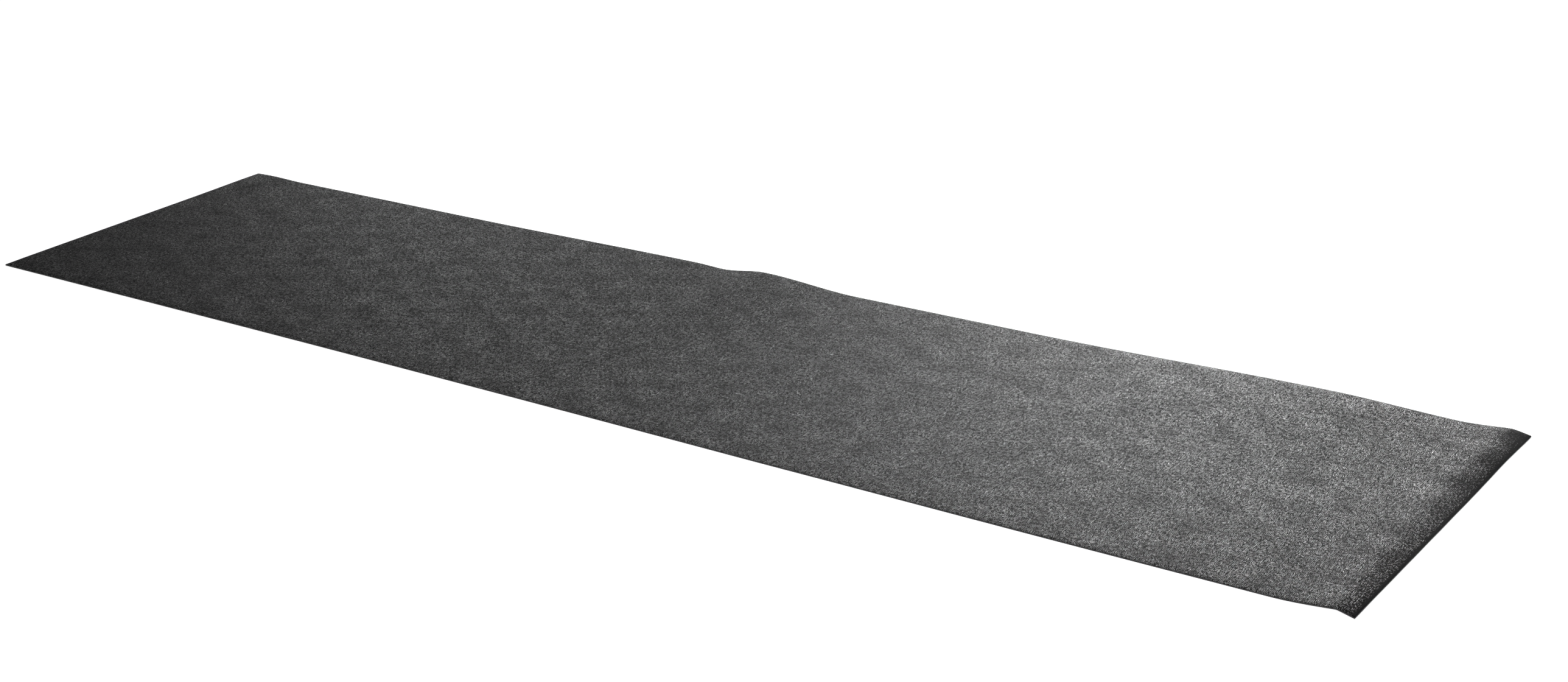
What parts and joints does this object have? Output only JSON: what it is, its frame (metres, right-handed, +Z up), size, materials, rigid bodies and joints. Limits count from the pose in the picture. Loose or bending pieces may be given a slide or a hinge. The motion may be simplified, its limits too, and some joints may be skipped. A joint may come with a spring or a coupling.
{
  "type": "floor exercise mat",
  "caption": "Long thin rectangular floor mat of embossed closed-cell foam that folds once across its middle, with a low ridge at one end.",
  "frame": {"origin": "on the floor under the middle of the mat", "axes": "+X along the mat towards the end with the ridge, +Y across it, +Z up"},
  "size_m": [3.24, 0.762, 0.0115],
  "materials": {
    "wear_skin": "embossed grain, satin",
    "foam_core": "fine closed cells, matt",
    "backing": "fine pimpled non-slip, matt"
  },
  "bodies": {
    "left_half": {"wear_skin_left_half": "wear_skin", "foam_core_left_half": "foam_core", "backing_left_half": "backing"},
    "bend_1": {"wear_skin_bend_1": "wear_skin", "foam_core_bend_1": "foam_core", "backing_bend_1": "backing"},
    "bend_2": {"wear_skin_bend_2": "wear_skin", "foam_core_bend_2": "foam_core", "backing_bend_2": "backing"},
    "bend_3": {"wear_skin_bend_3": "wear_skin", "foam_core_bend_3": "foam_core", "backing_bend_3": "backing"},
    "bend_4": {"wear_skin_bend_4": "wear_skin", "foam_core_bend_4": "foam_core", "backing_bend_4": "backing"},
    "bend_5": {"wear_skin_bend_5": "wear_skin", "foam_core_bend_5": "foam_core", "backing_bend_5": "backing"},
    "right_half": {"wear_skin_right_half": "wear_skin", "foam_core_right_half": "foam_core", "backing_right_half": "backing"}
  },
  "joints": [
    {"name": "fold", "type": "hinge", "parent": "left_half", "child": "right_half", "pos_m": [0, 0, 0.018], "axis": [0, -1, 0], "range_deg": [0, 179.8]},
    {"name": "bend_1_turn", "type": "hinge", "parent": "left_half", "child": "bend_1", "pos_m": [-0.01876, 0, 0.004], "axis": [0, -1, 0], "range_deg": [0, 30]},
    {"name": "bend_2_turn", "type": "hinge", "parent": "left_half", "child": "bend_2", "pos_m": [-0.01501, 0, 0.00501], "axis": [0, -1, 0], "range_deg": [0, 60]},
    {"name": "bend_3_turn", "type": "hinge", "parent": "left_half", "child": "bend_3", "pos_m": [-0.01125, 0, 0.00675], "axis": [0, -1, 0], "range_deg": [0, 90]},
    {"name": "bend_4_turn", "type": "hinge", "parent": "left_half", "child": "bend_4", "pos_m": [-0.0075, 0, 0.00934], "axis": [0, -1, 0], "range_deg": [0, 120]},
    {"name": "bend_5_turn", "type": "hinge", "parent": "left_half", "child": "bend_5", "pos_m": [-0.00375, 0, 0.01297], "axis": [0, -1, 0], "range_deg": [0, 150]}
  ],
  "couplings": [
    {"joint": "bend_1_turn", "follows": "fold", "ratio": 0.16667},
    {"joint": "bend_2_turn", "follows": "fold", "ratio": 0.33333},
    {"joint": "bend_3_turn", "follows": "fold", "ratio": 0.5},
    {"joint": "bend_4_turn", "follows": "fold", "ratio": 0.66667},
    {"joint": "bend_5_turn", "follows": "fold", "ratio": 0.83333}
  ]
}
